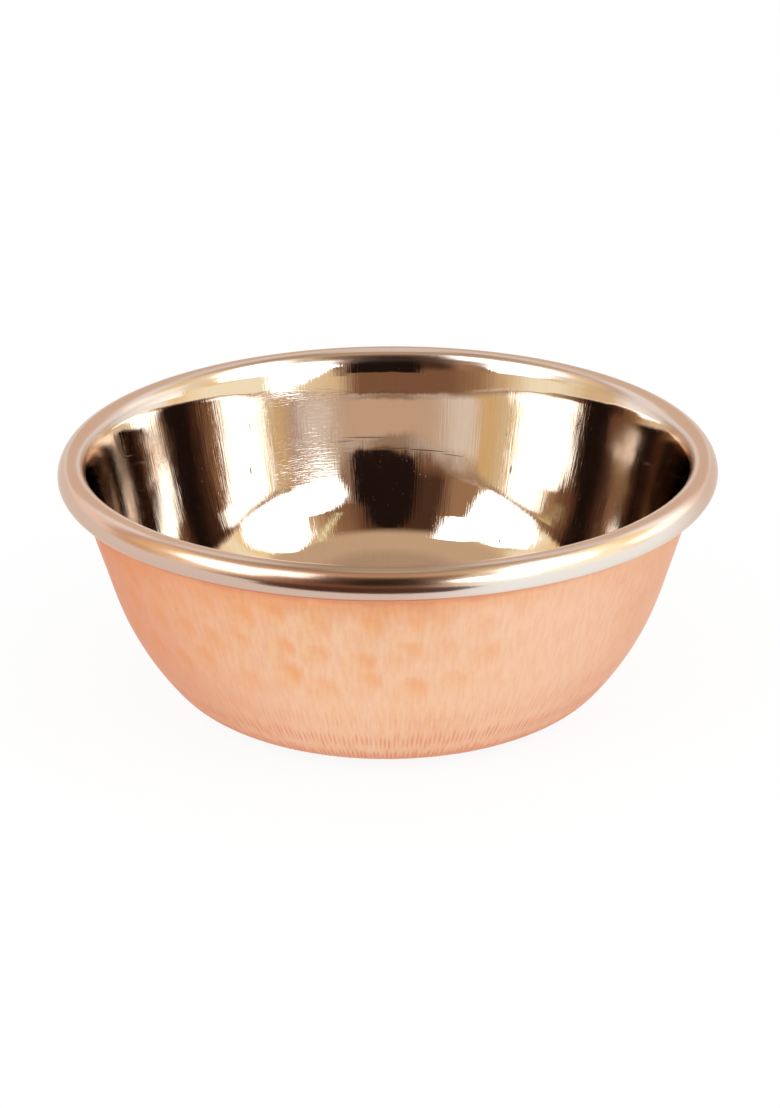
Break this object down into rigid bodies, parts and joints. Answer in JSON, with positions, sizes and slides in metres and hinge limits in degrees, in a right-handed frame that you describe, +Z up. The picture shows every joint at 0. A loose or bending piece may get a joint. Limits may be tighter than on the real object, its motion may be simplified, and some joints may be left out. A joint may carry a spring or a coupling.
{
  "type": "double-skin serving bowl",
  "caption": "Round double-skin serving bowl: hammered copper shell outside, polished steel liner inside, with the liner's edge rolled outward over the copper as a rounded rim.",
  "frame": {"origin": "centre of the flat base, on the surface the bowl stands on", "axes": "+Z up along the bowl's axis of revolution, towards the open mouth; X and Y are any two square directions in the base plane"},
  "size_m": [0.12, 0.12, 0.046],
  "materials": {
    "hammered_copper": "hammered, satin lacquered copper: round planishing marks on the upper wall, fine radial strokes near the base",
    "polished_steel": "mirror polish with fine hairlines, a little softer on the rolled rim"
  },
  "bodies": {
    "root": {"copper_shell": "hammered_copper", "steel_liner": "polished_steel"}
  },
  "joints": []
}
